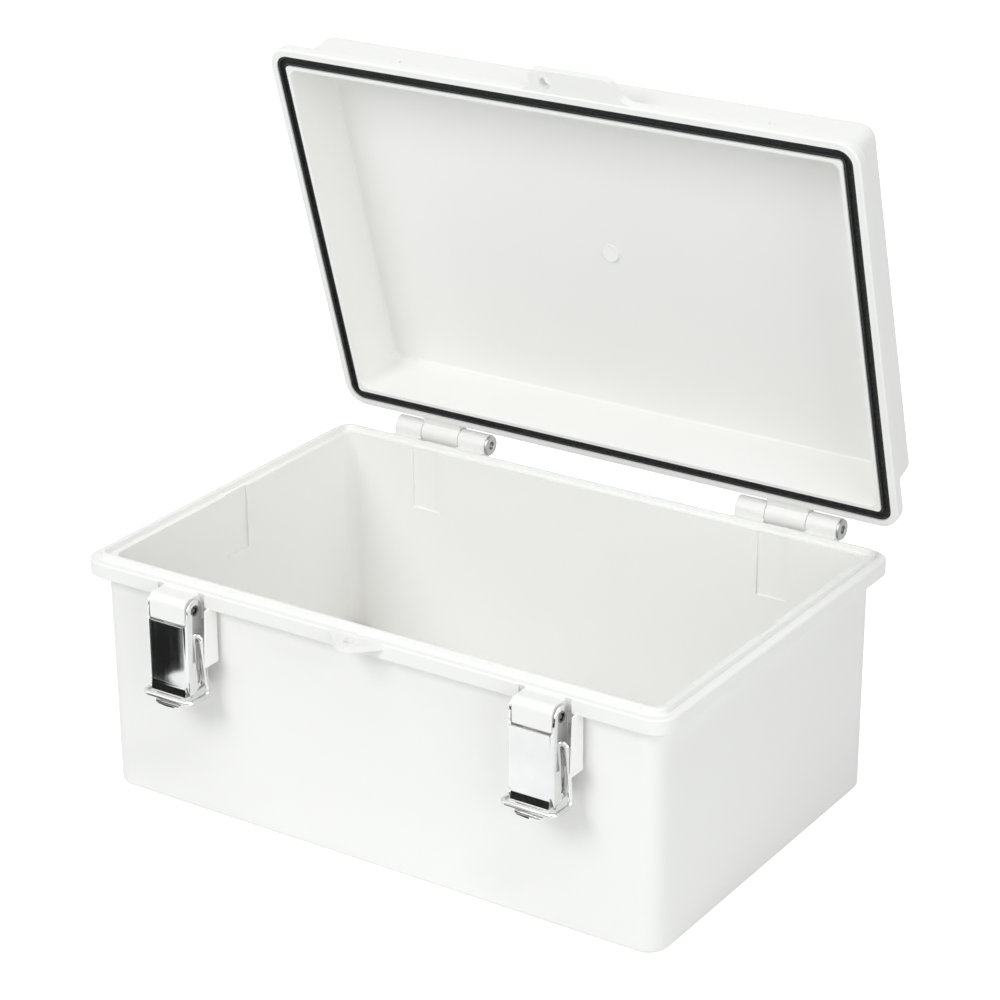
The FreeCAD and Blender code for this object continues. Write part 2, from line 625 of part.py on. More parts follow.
def latch_bail(centre):
    """Bent wire bail that hangs from the eyes of the lever and hooks behind the keeper."""
    corner_y = EYE_Y + BAIL_CORNER_BACK
    bar_y = EYE_Y - BAIL_BAR_OUT
    corner_z = EYE_Z - BAIL_LENGTH
    bar_z = corner_z + BAIL_BAR_RISE
    side = ((BAIL_HALF_WIDTH - PEG_LENGTH, EYE_Y, EYE_Z), (BAIL_HALF_WIDTH, EYE_Y, EYE_Z),
            (BAIL_HALF_WIDTH, corner_y, corner_z), (BAIL_HALF_WIDTH, bar_y, bar_z))
    left = [Vec(centre - x, y, z) for x, y, z in side]
    right = [Vec(centre + x, y, z) for x, y, z in reversed(side)]
    radii = [EYE_BEND_R, BAIL_BEND_R, BAIL_BEND_R, BAIL_BEND_R, BAIL_BEND_R, EYE_BEND_R]
    path = rounded_path(left + right, radii)
    profile = Part.Wire(Part.makeCircle(WIRE_R, left[0], X_AXIS))
    return path.makePipeShell([profile], True, False)


def build():
    """All nodes by name."""
    nodes = {
        "base_tray": base_tray(),
        "base_padlock_eye": base_padlock_eye(),
        "lid_cover": opened(lid_cover()),
        "lid_gasket": opened(lid_gasket()),
        "lid_padlock_eye": opened(lid_padlock_eye()),
    }
    boss_top = FOOT_HEIGHT + FLOOR + BOSS_HEIGHT
    plate_z = boss_top - PLATE_INSERT_LENGTH
    for place, centre in boss_centres():
        nodes[f"plate_insert_{place}"] = threaded_insert(
            centre, PLATE_INSERT_R, PLATE_INSERT_BORE_R, plate_z - INSERT_SINK, PLATE_INSERT_LENGTH)
        nodes[f"wall_insert_{place}"] = threaded_insert(
            centre, WALL_INSERT_R, WALL_INSERT_BORE_R, INSERT_SINK, WALL_INSERT_LENGTH)
    for name, side in SIDES:
        nodes[f"hinge_pin_{name}"] = hinge_pin(hinge_centre(side))
        nodes[f"latch_pivot_pin_{name}"] = pivot_pin(side * LATCH_X)
        nodes[f"latch_lever_{name}"] = latch_lever(side * LATCH_X)
        nodes[f"latch_bail_{name}"] = latch_bail(side * LATCH_X)
    return nodes


def main():
    """Builds every node and writes one STEP file for each."""
    os.makedirs("parts", exist_ok=True)
    for name, shape in build().items():
        solids = shape.Solids
        piece = solids[0] if len(solids) == 1 else Part.makeCompound(solids)
        piece.exportStep(f"parts/{name}.step")
        print(f"{name}: solids {len(solids)}, valid {shape.isValid()}, volume {shape.Volume:.1f}")


if __name__ == "__main__":
    main()
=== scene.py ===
"""Looks of a hinged ABS enclosure: near-white moulded shells, a black foam seal and polished steel draw latches.

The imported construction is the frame. The moulded shells keep their frame meshes and get their finish here.
The seal, the latch levers, their bails and pivots, the hinge pins and the threaded inserts are modelled here
in finer form and stand for their frame nodes.
"""

import json
import logging
import math
from dataclasses import dataclass, field
from enum import Enum
from typing import Iterable, Sequence

import bmesh
import bpy
from mathutils import Matrix, Vector

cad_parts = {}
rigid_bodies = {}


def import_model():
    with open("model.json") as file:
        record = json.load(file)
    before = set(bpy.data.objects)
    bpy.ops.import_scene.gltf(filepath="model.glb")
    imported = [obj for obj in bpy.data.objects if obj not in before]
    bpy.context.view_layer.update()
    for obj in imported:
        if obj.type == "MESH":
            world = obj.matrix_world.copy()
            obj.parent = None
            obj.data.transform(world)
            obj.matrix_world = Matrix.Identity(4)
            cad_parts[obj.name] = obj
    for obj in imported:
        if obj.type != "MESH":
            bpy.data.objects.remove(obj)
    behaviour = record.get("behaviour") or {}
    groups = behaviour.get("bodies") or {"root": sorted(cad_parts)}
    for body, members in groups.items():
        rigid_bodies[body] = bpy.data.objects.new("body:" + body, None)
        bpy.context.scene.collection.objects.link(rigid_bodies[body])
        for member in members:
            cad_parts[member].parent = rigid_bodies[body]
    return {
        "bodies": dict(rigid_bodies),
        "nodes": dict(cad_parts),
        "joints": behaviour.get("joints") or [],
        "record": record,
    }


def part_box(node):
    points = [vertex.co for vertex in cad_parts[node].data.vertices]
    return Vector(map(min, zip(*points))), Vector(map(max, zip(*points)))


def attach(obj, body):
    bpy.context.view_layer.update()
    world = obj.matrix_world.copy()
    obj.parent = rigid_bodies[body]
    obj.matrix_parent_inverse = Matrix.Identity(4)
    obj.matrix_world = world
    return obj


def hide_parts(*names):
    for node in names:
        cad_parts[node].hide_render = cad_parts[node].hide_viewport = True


LOG = logging.getLogger("enclosure")
MM = 0.001

Point2 = tuple[float, float]
Point3 = tuple[float, float, float]


class Slot(Enum):
    """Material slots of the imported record."""

    SHELL = "abs_shell"
    SEAL = "gasket_rubber"
    LEVER = "lever_steel"
    WIRE = "wire_steel"
    PIN = "pin_steel"
    INSERT = "insert_brass"


class Side(Enum):
    """The two latches and hinges, named as in the frame."""

    LEFT = "left"
    RIGHT = "right"


class Shader:
    """Builds one node tree around a Principled shader."""

    def __init__(self, name: str) -> None:
        """Starts an empty material.

        Args:
            name: Name of the material.
        """
        self.material = bpy.data.materials.new(name)
        self.material.use_nodes = True
        self.tree = self.material.node_tree
        self.tree.nodes.clear()
        self.output = self.tree.nodes.new("ShaderNodeOutputMaterial")
        self.surface = self.tree.nodes.new("ShaderNodeBsdfPrincipled")
        self.link(self.surface.outputs["BSDF"], self.output.inputs["Surface"])
        self.coords = self.tree.nodes.new("ShaderNodeTexCoord")

    def link(self, start: bpy.types.NodeSocket, end: bpy.types.NodeSocket) -> None:
        """Links two sockets."""
        self.tree.links.new(start, end)

    def constant(self, **values: float) -> None:
        """Sets even values on the shader's own sockets.

        Args:
            values: Socket names in lower case with underscores, and their values.
        """
        for name, value in values.items():
            self.surface.inputs[name.replace("_", " ").title().replace("Ior", "IOR")].default_value = value

    def noise(self, scale: float, detail: float, stretch: Point3 = (1.0, 1.0, 1.0)) -> bpy.types.NodeSocket:
        """Adds a noise texture in object space.

        Args:
            scale: Cells per metre.
            detail: Octaves of finer noise.
            stretch: Factor on each axis before the noise.

        Returns:
            The noise value.
        """
        mapping = self.tree.nodes.new("ShaderNodeMapping")
        mapping.inputs["Scale"].default_value = stretch
        texture = self.tree.nodes.new("ShaderNodeTexNoise")
        texture.inputs["Scale"].default_value = scale
        texture.inputs["Detail"].default_value = detail
        self.link(self.coords.outputs["Object"], mapping.inputs["Vector"])
        self.link(mapping.outputs["Vector"], texture.inputs["Vector"])
        return texture.outputs["Fac"]

    def spread(self, value: bpy.types.NodeSocket, low: float, high: float, target: str) -> None:
        """Maps a noise value to a range on one shader socket.

        Args:
            value: Noise value.
            low: Result where the noise is low.
            high: Result where the noise is high.
            target: Name of the shader socket.
        """
        ramp = self.tree.nodes.new("ShaderNodeMapRange")
        ramp.inputs["From Min"].default_value = 0.3
        ramp.inputs["From Max"].default_value = 0.7
        ramp.inputs["To Min"].default_value = low
        ramp.inputs["To Max"].default_value = high
        self.link(value, ramp.inputs["Value"])
        self.link(ramp.outputs["Result"], self.surface.inputs[target])

    def blend(self, value: bpy.types.NodeSocket, first: Point3, second: Point3) -> None:
        """Mixes two base colours by a noise value.

        Args:
            value: Noise value.
            first: Colour where the noise is low.
            second: Colour where the noise is high.
        """
        ramp = self.tree.nodes.new("ShaderNodeValToRGB")
        ramp.color_ramp.elements[0].position = 0.35
        ramp.color_ramp.elements[1].position = 0.65
        ramp.color_ramp.elements[0].color = (*first, 1.0)
        ramp.color_ramp.elements[1].color = (*second, 1.0)
        self.link(value, ramp.inputs["Fac"])
        self.link(ramp.outputs["Color"], self.surface.inputs["Base Color"])

    def relief(self, value: bpy.types.NodeSocket, depth: float, strength: float) -> None:
        """Adds a bump from a height value.

        Args:
            value: Height, 0 to 1.
            depth: Height of a full step in metres.
            strength: Share of the bump that is used.
        """
        bump = self.tree.nodes.new("ShaderNodeBump")
        bump.inputs["Distance"].default_value = depth
        bump.inputs["Strength"].default_value = strength
        self.link(value, bump.inputs["Height"])
        self.link(bump.outputs["Normal"], self.surface.inputs["Normal"])


@dataclass(frozen=True)
class MouldedPlastic:
    """Satin moulded ABS with a fine spark-eroded grain and faint flow variation."""

    name: str = "abs_satin_white"
    tone: Point3 = (0.941, 0.934, 0.910)
    tone_far: Point3 = (0.954, 0.948, 0.926)
    gloss_low: float = 0.34
    gloss_high: float = 0.46
    grain_per_m: float = 2600.0
    grain_depth: float = 0.00003
    grain_strength: float = 0.10

    def build(self) -> bpy.types.Material:
        """Makes the material."""
        shader = Shader(self.name)
        shader.constant(ior=1.53)
        shader.blend(shader.noise(7.0, 2.0), self.tone, self.tone_far)
        shader.spread(shader.noise(26.0, 3.0), self.gloss_low, self.gloss_high, "Roughness")
        shader.relief(shader.noise(self.grain_per_m, 2.0), self.grain_depth, self.grain_strength)
        return shader.material


@dataclass(frozen=True)
class FoamRubber:
    """Black closed-cell foam with a fine open grain."""

    name: str = "foam_rubber_black"
    dark: Point3 = (0.012, 0.012, 0.013)
    light: Point3 = (0.035, 0.035, 0.036)

    def build(self) -> bpy.types.Material:
        """Makes the material."""
        shader = Shader(self.name)
        shader.constant(ior=1.45)
        shader.blend(shader.noise(900.0, 4.0), self.dark, self.light)
        shader.spread(shader.noise(300.0, 2.0), 0.55, 0.8, "Roughness")
        shader.relief(shader.noise(1800.0, 3.0), 0.00012, 0.45)
        return shader.material


@dataclass(frozen=True)
class Steel:
    """Stainless steel: a tone, a gloss range and the direction and depth of its fine drawing lines."""

    name: str
    tone: Point3
    tone_far: Point3
    gloss_low: float
    gloss_high: float
    lines: Point3
    line_depth: float
    line_strength: float

    def build(self) -> bpy.types.Material:
        """Makes the material."""
        shader = Shader(self.name)
        shader.constant(metallic=1.0)
        shader.blend(shader.noise(60.0, 3.0), self.tone, self.tone_far)
        shader.spread(shader.noise(45.0, 4.0, self.lines), self.gloss_low, self.gloss_high, "Roughness")
        shader.relief(shader.noise(60.0, 2.0, self.lines), self.line_depth, self.line_strength)
        return shader.material


@dataclass(frozen=True)
class TurnedBrass:
    """Turned brass with fine rings."""

    name: str = "brass_turned"

    def build(self) -> bpy.types.Material:
        """Makes the material."""
        shader = Shader(self.name)
        shader.constant(metallic=1.0)
        shader.blend(shader.noise(120.0, 3.0), (0.62, 0.42, 0.16), (0.74, 0.53, 0.22))
        shader.spread(shader.noise(200.0, 2.0), 0.2, 0.38, "Roughness")
        shader.relief(shader.noise(80.0, 2.0, (1.0, 1.0, 40.0)), 0.00003, 0.3)
        return shader.material


@dataclass(frozen=True)
class Finishes:
    """All finishes of the enclosure, built once."""

    shell: bpy.types.Material
    ground: bpy.types.Material
    seal: bpy.types.Material
    lever: bpy.types.Material
    wire: bpy.types.Material
    pin: bpy.types.Material
    rivet: bpy.types.Material
    insert: bpy.types.Material

    @staticmethod
    def make() -> "Finishes":
        """Builds every material."""
        lever = Steel("steel_polished", (0.78, 0.78, 0.775), (0.83, 0.83, 0.825), 0.04, 0.08,
                      (25.0, 25.0, 1.0), 0.00001, 0.02)
        wire = Steel("steel_drawn_wire", (0.68, 0.68, 0.67), (0.78, 0.78, 0.77), 0.06, 0.14,
                     (20.0, 20.0, 2.0), 0.00001, 0.15)
        pin = Steel("steel_turned_pin", (0.42, 0.42, 0.41), (0.54, 0.54, 0.53), 0.25, 0.42,
                    (1.0, 20.0, 20.0), 0.00002, 0.3)
        # The rivet steel is painted far darker than the pin steel: this dark tone is painted shade of the rivet's
        # hollow ends.
        rivet = Steel("steel_rivet_painted_shade", (0.19, 0.19, 0.185), (0.27, 0.27, 0.265), 0.2, 0.34,
                      (1.0, 20.0, 20.0), 0.00002, 0.3)
        # The sprue's finish is painted whiter than the shell: its lighter tone is a painted highlight on the ground
        # disc.
        ground = MouldedPlastic("abs_ground_painted_highlight", (0.96, 0.96, 0.955), (0.97, 0.97, 0.965), 0.2, 0.3)
        return Finishes(MouldedPlastic().build(), ground.build(), FoamRubber().build(), lever.build(), wire.build(),
                        pin.build(), rivet.build(), TurnedBrass().build())


def as_object(name: str, mesh: bpy.types.Mesh, material: bpy.types.Material) -> bpy.types.Object:
    """Links a mesh to the scene as one object with one material.

    Args:
        name: Name of the piece.
        mesh: Its mesh, in metres in the row frame.
        material: Its finish.

    Returns:
        The new object.
    """
    mesh.materials.clear()
    mesh.materials.append(material)
    piece = bpy.data.objects.new(name, mesh)
    bpy.context.scene.collection.objects.link(piece)
    return piece


def mesh_from(name: str, shape: bmesh.types.BMesh) -> bpy.types.Mesh:
    """Writes a bmesh to a new mesh with outward normals and frees it."""
    bmesh.ops.recalc_face_normals(shape, faces=shape.faces)
    mesh = bpy.data.meshes.new(name)
    shape.to_mesh(mesh)
    shape.free()
    return mesh


def smooth(piece: bpy.types.Object, angle_deg: float = 35.0) -> None:
    """Shades a piece smooth and keeps edges sharper than the angle.

    Args:
        piece: Object with a mesh.
        angle_deg: Angle between faces above which an edge stays sharp.
    """
    piece.data.shade_smooth()
    piece.data.set_sharp_from_angle(angle=math.radians(angle_deg))


def round_edges(piece: bpy.types.Object, width: float, segments: int = 3, angle_deg: float = 40.0) -> None:
    """Adds a bevel on the edges sharper than an angle.

    Args:
        piece: Object with a mesh.
        width: Bevel width in metres.
        segments: Steps across the bevel.
        angle_deg: Angle above which an edge is bevelled.
    """
    bevel = piece.modifiers.new("edge_round", "BEVEL")
    bevel.width = width
    bevel.segments = segments
    bevel.limit_method = "ANGLE"
    bevel.angle_limit = math.radians(angle_deg)
    bevel.harden_normals = False


def flatten_shading(piece: bpy.types.Object) -> None:
    """Lets large flat faces keep their own normal where they run into a bend or a rounded edge.

    Args:
        piece: Object with a mesh.
    """
    weighted = piece.modifiers.new("flat_faces", "WEIGHTED_NORMAL")
    weighted.mode = "FACE_AREA"
    weighted.weight = 100
    weighted.keep_sharp = True


def rounded_points(points: Sequence[Vector], radii: Sequence[float], steps: int) -> list[Vector]:
    """Replaces each inner corner of a line of points by an arc.

    Args:
        points: Corners of the line, first and last kept as they are.
        radii: One radius for each inner corner.
        steps: Chords in each arc.

    Returns:
        The points of the rounded line.
    """
    line = [points[0].copy()]
    for before, corner, after, radius in zip(points, points[1:], points[2:], radii):
        to_start = (before - corner).normalized()
        to_end = (after - corner).normalized()
        half = to_start.angle(to_end) / 2
        centre = corner + (to_start + to_end).normalized() * (radius / math.sin(half))
        first = corner + to_start * (radius / math.tan(half)) - centre
        last = corner + to_end * (radius / math.tan(half)) - centre
        sweep = first.angle(last)
        for step in range(steps + 1):
            share = step / steps
            turned = (first * math.sin((1 - share) * sweep) + last * math.sin(share * sweep)) / math.sin(sweep)
            line.append(centre + turned)
    line.append(points[-1].copy())
    return line


def lathe_x(name: str, profile: Iterable[Point2], centre: Vector, segments: int = 48) -> bpy.types.Mesh:
    """Turns a profile about an axis along X.

    Args:
        name: Name of the mesh.
        profile: Points (x, radius) from one end to the other, both on or near the axis.
        centre: Point on the axis at x = 0.
        segments: Faces round the axis.

    Returns:
        The turned mesh.
    """
    shape = bmesh.new()
    rings = []
    for x, radius in profile:
        if radius <= 0.0:
            rings.append([shape.verts.new(centre + Vector((x, 0.0, 0.0)))])
            continue
        ring = []
        for index in range(segments):
            angle = 2 * math.pi * index / segments
            ring.append(shape.verts.new(centre + Vector((x, radius * math.cos(angle), radius * math.sin(angle)))))
        rings.append(ring)
    for first, second in zip(rings, rings[1:]):
        for index in range(segments):
            following = (index + 1) % segments
            if len(first) == 1:
                shape.faces.new((first[0], second[index], second[following]))
            elif len(second) == 1:
                shape.faces.new((first[index], second[0], first[following]))
            else:
                shape.faces.new((first[index], second[index], second[following], first[following]))
    return mesh_from(name, shape)


def wire_mesh(name: str, points: Sequence[Vector], radius: float, closed: bool = False) -> bpy.types.Mesh:
    """Makes a round wire with capped ends along points.

    Args:
        name: Name of the mesh.
        points: Middle line of the wire.
        radius: Radius of the wire.
        closed: True for a ring.

    Returns:
        The wire as a mesh.
    """
    curve = bpy.data.curves.new(name, "CURVE")
    curve.dimensions = "3D"
    curve.bevel_depth = radius
    curve.bevel_resolution = 7
    curve.use_fill_caps = True
    spline = curve.splines.new("POLY")
    spline.points.add(len(points) - 1)
    for target, point in zip(spline.points, points):
        target.co = (*point, 1.0)
    spline.use_cyclic_u = closed
    holder = bpy.data.objects.new(name, curve)
    mesh = bpy.data.meshes.new_from_object(holder)
    bpy.data.objects.remove(holder)
    bpy.data.curves.remove(curve)
    return mesh


def flat_pattern(name: str, outlines: Sequence[Sequence[Point2]]) -> bmesh.types.BMesh:
    """Fills an outline with holes in the XY plane.

    Args:
        name: Name used for the temporary curve.
        outlines: Outer outline first, then the holes, as closed point lists.

    Returns:
        The filled sheet.
    """
    curve = bpy.data.curves.new(name, "CURVE")
    curve.dimensions = "2D"
    curve.fill_mode = "BOTH"
    for outline in outlines:
        spline = curve.splines.new("POLY")
        spline.points.add(len(outline) - 1)
        for target, point in zip(spline.points, outline):
            target.co = (point[0], point[1], 0.0, 1.0)
        spline.use_cyclic_u = True
    holder = bpy.data.objects.new(name, curve)
    mesh = bpy.data.meshes.new_from_object(holder)
    shape = bmesh.new()
    shape.from_mesh(mesh)
    bpy.data.objects.remove(holder)
    bpy.data.curves.remove(curve)
    bpy.data.meshes.remove(mesh)
    bmesh.ops.remove_doubles(shape, verts=shape.verts, dist=1e-7)
    return shape


def circle_points(centre: Point2, radius: float, start_deg: float, end_deg: float, steps: int) -> list[Point2]:
    """Points on an arc of a circle, both ends included."""
    points = []
    for step in range(steps + 1):
        angle = math.radians(start_deg + (end_deg - start_deg) * step / steps)
        points.append((centre[0] + radius * math.cos(angle), centre[1] + radius * math.sin(angle)))
    return points


@dataclass
class Frame:
    """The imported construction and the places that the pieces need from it."""

    data: dict

    def pivot(self, joint: str) -> Vector:
        """Point on the axis of a joint."""
        return Vector(self._joint(joint)["pos_m"])

    def lid_opening(self) -> float:
        """Angle in radians by which the lid stands open at rest."""
        return math.radians(-self._joint("lid_hinge")["range_deg"][0])

    def open_lid(self) -> Matrix:
        """Transform from the closed lid to the lid at rest."""
        centre = self.pivot("lid_hinge")
        turn = Matrix.Rotation(-self.lid_opening(), 4, "X")
        return Matrix.Translation(centre) @ turn @ Matrix.Translation(-centre)

    def dress(self, node: str, material: bpy.types.Material) -> bpy.types.Object:
        """Gives a frame node its finish.

        Args:
            node: Name of the node.
            material: Its finish.

        Returns:
            The node's object.
        """
        piece = self.data["nodes"][node]
        if not piece.material_slots:
            piece.data.materials.append(material)
        for slot in piece.material_slots:
            slot.material = material
        return piece

    def _joint(self, name: str) -> dict:
        """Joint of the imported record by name."""
        return next(joint for joint in self.data["joints"] if joint["name"] == name)


def mount(piece: bpy.types.Object, body: str, node: str) -> None:
    """Makes a piece ride on a body and stand for a frame node.

    Args:
        piece: The finished piece.
        body: Frame body that it moves with.
        node: Frame node that it stands for.
    """
    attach(piece, body)
    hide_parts(node)
    LOG.info("%s: %d faces on %s", piece.name, len(piece.data.polygons), body)


@dataclass
class MouldedShells:
    """The base tray, the lid and their padlock eyes, which keep their frame meshes."""

    frame: Frame
    finishes: Finishes
    nodes: tuple[str, ...] = ("base_tray", "lid_cover", "base_padlock_eye", "lid_padlock_eye")

    def build(self) -> None:
        """Dresses the four mouldings."""
        for node in self.nodes:
            piece = self.frame.dress(node, self.finishes.shell)
            LOG.info("%s: %d faces", node, len(piece.data.polygons))


@dataclass
class GateDisc:
    """Ground-off sprue in the middle of the lid's roof, smoother than the grained wall round it, with a whiter tone
    that is a painted highlight.
    """

    frame: Frame
    finishes: Finishes
    radius: float = 3.9 * MM
    roof_z: float = 137.0 * MM
    height: float = 0.85 * MM
    edge: float = 0.12 * MM
    slope_deg: float = 10.0
    segments: int = 48

    def build(self) -> bpy.types.Object:
        """Makes the shallow disc, ground at a slight slope, and turns it to the open lid."""
        shape = bmesh.new()
        slope = math.tan(math.radians(self.slope_deg))
        rings = []
        for radius, drop, rise in ((self.radius, 0.0, 0.0), (self.radius, self.height - self.edge, slope),
                                   (self.radius - self.edge, self.height, slope)):
            spots = circle_points((0.0, 0.0), radius, 0, 360, self.segments)[:-1]
            rings.append([shape.verts.new((x, y, self.roof_z - drop - rise * y)) for x, y in spots])
        for first, second in zip(rings, rings[1:]):
            for index in range(self.segments):
                following = (index + 1) % self.segments
                shape.faces.new((first[index], first[following], second[following], second[index]))
        shape.faces.new(rings[0])
        shape.faces.new(rings[-1])
        mesh = mesh_from("lid_gate_disc", shape)
        mesh.transform(self.frame.open_lid())
        # The disc takes the whiter finish, whose lighter tone is a painted highlight.
        piece = as_object("lid_gate_disc", mesh, self.finishes.ground)
        smooth(piece, 30.0)
        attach(piece, "lid")
        return piece


@dataclass
class FoamSeal:
    """Foam seal in the lid groove: two soft lips with the pressed track of the tongue between them."""

    frame: Frame
    finishes: Finishes
    width: float = 290.0 * MM
    depth: float = 190.9 * MM
    corner_r: float = 10.0 * MM
    inset: float = 3.4 * MM
    band: float = 4.7 * MM
    floor_z: float = 112.9 * MM
    face_z: float = 109.8 * MM
    track_width: float = 2.5 * MM
    track_depth: float = 1.9 * MM
    lip_round: float = 0.35 * MM
    corner_steps: int = 24

    def section(self) -> list[Point2]:
        """Cross-section as (inset from the rim, height), closed, seen with the groove on top."""
        half_track = self.track_width / 2
        middle = self.inset + self.band / 2
        inner = self.inset + self.band
        lip = self.lip_round
        points = [(self.inset, self.floor_z), (self.inset, self.face_z + lip)]
        points += circle_points((self.inset + lip, self.face_z + lip), lip, 180, 270, 4)[1:]
        edge = middle - half_track
        points += circle_points((edge - lip, self.face_z + lip), lip, 270, 360, 4)
        points += [(edge, self.face_z + self.track_depth - lip)]
        points += circle_points((edge + lip, self.face_z + self.track_depth - lip), lip, 180, 90, 3)[1:]
        far = middle + half_track
        points += circle_points((far - lip, self.face_z + self.track_depth - lip), lip, 90, 0, 3)
        points += circle_points((far + lip, self.face_z + lip), lip, 180, 270, 4)
        points += circle_points((inner - lip, self.face_z + lip), lip, 270, 360, 4)
        points += [(inner, self.floor_z)]
        return points

    def ring(self, inset: float, height: float) -> list[Vector]:
        """Points of one rounded rectangle round the rim at an inset and a height."""
        radius = self.corner_r - inset
        cx = self.width / 2 - self.corner_r
        cy = self.depth / 2 - self.corner_r
        points = []
        for sx, sy, start in ((1, 1, 0), (-1, 1, 90), (-1, -1, 180), (1, -1, 270)):
            for x, y in circle_points((sx * cx, sy * cy), radius, start, start + 90, self.corner_steps):
                points.append(Vector((x, y, height)))
        return points

    def build(self) -> bpy.types.Object:
        """Sweeps the section round the rim and turns it to the open lid."""
        shape = bmesh.new()
        rows = [[shape.verts.new(point) for point in self.ring(*spot)] for spot in self.section()]
        count = len(rows[0])
        for first, second in zip(rows, rows[1:] + rows[:1]):
            for index in range(count):
                following = (index + 1) % count
                shape.faces.new((first[index], first[following], second[following], second[index]))
        mesh = mesh_from("lid_seal", shape)
        mesh.transform(self.frame.open_lid())
        piece = as_object("lid_seal", mesh, self.finishes.seal)
        smooth(piece, 50.0)
        mount(piece, "lid", "lid_gasket")
        return piece


@dataclass
class LeverSheet:
    """Folded sheet of one latch lever, in millimetres about its pivot until it is placed.

    The lever is drawn as its flat pattern: s runs across the front and round both bends into the side walls,
    t runs up. The pattern is then folded about the two side bends and along the front's own profile.
    """

    frame: Frame
    finishes: Finishes
    side: Side
    half_width: float = 10.6
    thickness: float = 0.8
    bend_r: float = 1.6
    plate_out: float = 6.35
    ear_r: float = 4.7
    pin_r: float = 2.05
    top_drop: float = 6.2
    facet_drop: float = 34.2
    foot_out: float = 6.95
    foot_drop: float = 38.9
    knee_out: float = 6.2
    knee_drop: float = 41.4
    tip_out: float = 8.35
    tip_drop: float = 42.9
    profile_radii: Point3 = (12.0, 1.4, 1.0)
    tab_half: float = 6.5
    back_foot: Point2 = (2.95, 34.7)
    eye: Point2 = (1.25, 12.2)
    eye_r: float = 1.21
    slot_out: float = 0.6
    slot_r: float = 1.0
    slot_span: Point2 = (15.5, 32.5)
    tab_corner_r: float = 1.4
    foot_corner_r: float = 0.9
    relief_r: float = 0.5
    relief_rise: float = 0.4
    toe: Point2 = (0.6, 3.2)
    toe_centre: Point2 = (0.4, 3.4)
    toe_r: float = 1.0
    heel_r: float = 1.2
    heel_rise: float = 1.0
    top_rise: float = 1.0
    top_inset: float = 0.3
    join_slack: float = 1e-4
    edge_r: float = 0.14
    arc_steps: int = 48
    bend_steps: int = 6

    def flat_half(self) -> float:
        """Half of the flat width of the front, between the two side bends."""
        return self.half_width - self.bend_r

    def bend_length(self) -> float:
        """Length of a side bend along the sheet's outer face."""
        return self.bend_r * math.pi / 2

    def side_s(self, y: float) -> float:
        """Flat position of a point of the side wall that lies at y from the pivot."""
        return self.flat_half() + self.bend_length() + y + self.plate_out - self.bend_r

    def profile(self) -> list[Vector]:
        """Outer line of the front from its top to the tip of the tab, as (y, z) about the pivot."""
        corners = [(-self.plate_out, -self.top_drop), (-self.plate_out, -self.facet_drop),
                   (-self.foot_out, -self.foot_drop), (-self.knee_out, -self.knee_drop),
                   (-self.tip_out, -self.tip_drop)]
        points = [Vector((y, z, 0.0)) for y, z in corners]
        return rounded_points(points, self.profile_radii, self.bend_steps)

    def outline(self) -> list[Point2]:
        """Outer edge of the flat pattern, drawn once for the right half and mirrored."""
        centre = (self.side_s(0.0), 0.0)
        lines = self.profile()
        length = sum((b - a).length for a, b in zip(lines, lines[1:]))
        facet = self.foot_drop - self.facet_drop
        tip = -self.top_drop - length
        low = -self.facet_drop - facet
        relief_t = -self.facet_drop + self.relief_rise
        corner, foot_r, relief = self.tab_corner_r, self.foot_corner_r, self.relief_r
        half: list[Point2] = [(0.0, tip)]
        half += circle_points((self.tab_half - corner, tip + corner), corner, -90, 0, 6)
        half += [(self.tab_half, low), (self.flat_half() - foot_r, low)]
        half += circle_points((self.flat_half() - foot_r, low + foot_r), foot_r, -90, 0, 5)
        half += [(self.flat_half(), relief_t)]
        half += circle_points((self.flat_half() + relief, relief_t), relief, 180, 0, 8)[1:]
        wall_front = self.flat_half() + self.bend_length()
        half += [(wall_front - self.toe[0], -self.facet_drop - self.toe[1])]
        toe_centre = (wall_front + self.toe_centre[0], -self.facet_drop - self.toe_centre[1])
        half += circle_points(toe_centre, self.toe_r, 180, 250, 5)
        foot = (self.side_s(self.back_foot[0]), -self.back_foot[1])
        half += circle_points((foot[0] - self.heel_r, foot[1] + self.heel_rise), self.heel_r, -60, 0, 6)
        half += circle_points(centre, self.ear_r, -3, 183, self.arc_steps)
        bend_middle = self.side_s(-self.plate_out + self.bend_r) - self.bend_length() * 0.5
        half += [(bend_middle, -self.top_drop + self.top_rise)]
        half += [(self.flat_half() - self.top_inset, -self.top_drop), (0.0, -self.top_drop)]
        mirrored = [(-s, t) for s, t in reversed(half[1:-1])]
        return half + mirrored

    def holes(self) -> list[list[Point2]]:
        """Pin holes, bail eyes and long slots of both side walls."""
        found = []
        for sign in (-1, 1):
            pin = circle_points((sign * self.side_s(0.0), 0.0), self.pin_r, 0, 345, 23)
            eye = circle_points((sign * self.side_s(self.eye[0]), -self.eye[1]), self.eye_r, 0, 345, 23)
            middle = sign * self.side_s(self.slot_out)
            slot = circle_points((middle, -self.slot_span[0]), self.slot_r, 0, 180, 10)
            slot += circle_points((middle, -self.slot_span[1]), self.slot_r, 180, 360, 10)
            found += [pin, eye, slot]
        return found

    def cut_lines(self) -> tuple[list[float], list[float]]:
        """Places across and along the flat pattern at which it needs edges to fold on."""
        across = []
        for step in range(self.bend_steps + 1):
            place = self.flat_half() + self.bend_length() * step / self.bend_steps
            across += [place, -place]
        along = []
        lines = self.profile()
        reached = -self.top_drop
        for first, second in zip(lines, lines[1:]):
            reached -= (second - first).length
            along.append(reached)
        return across, along[:-1]

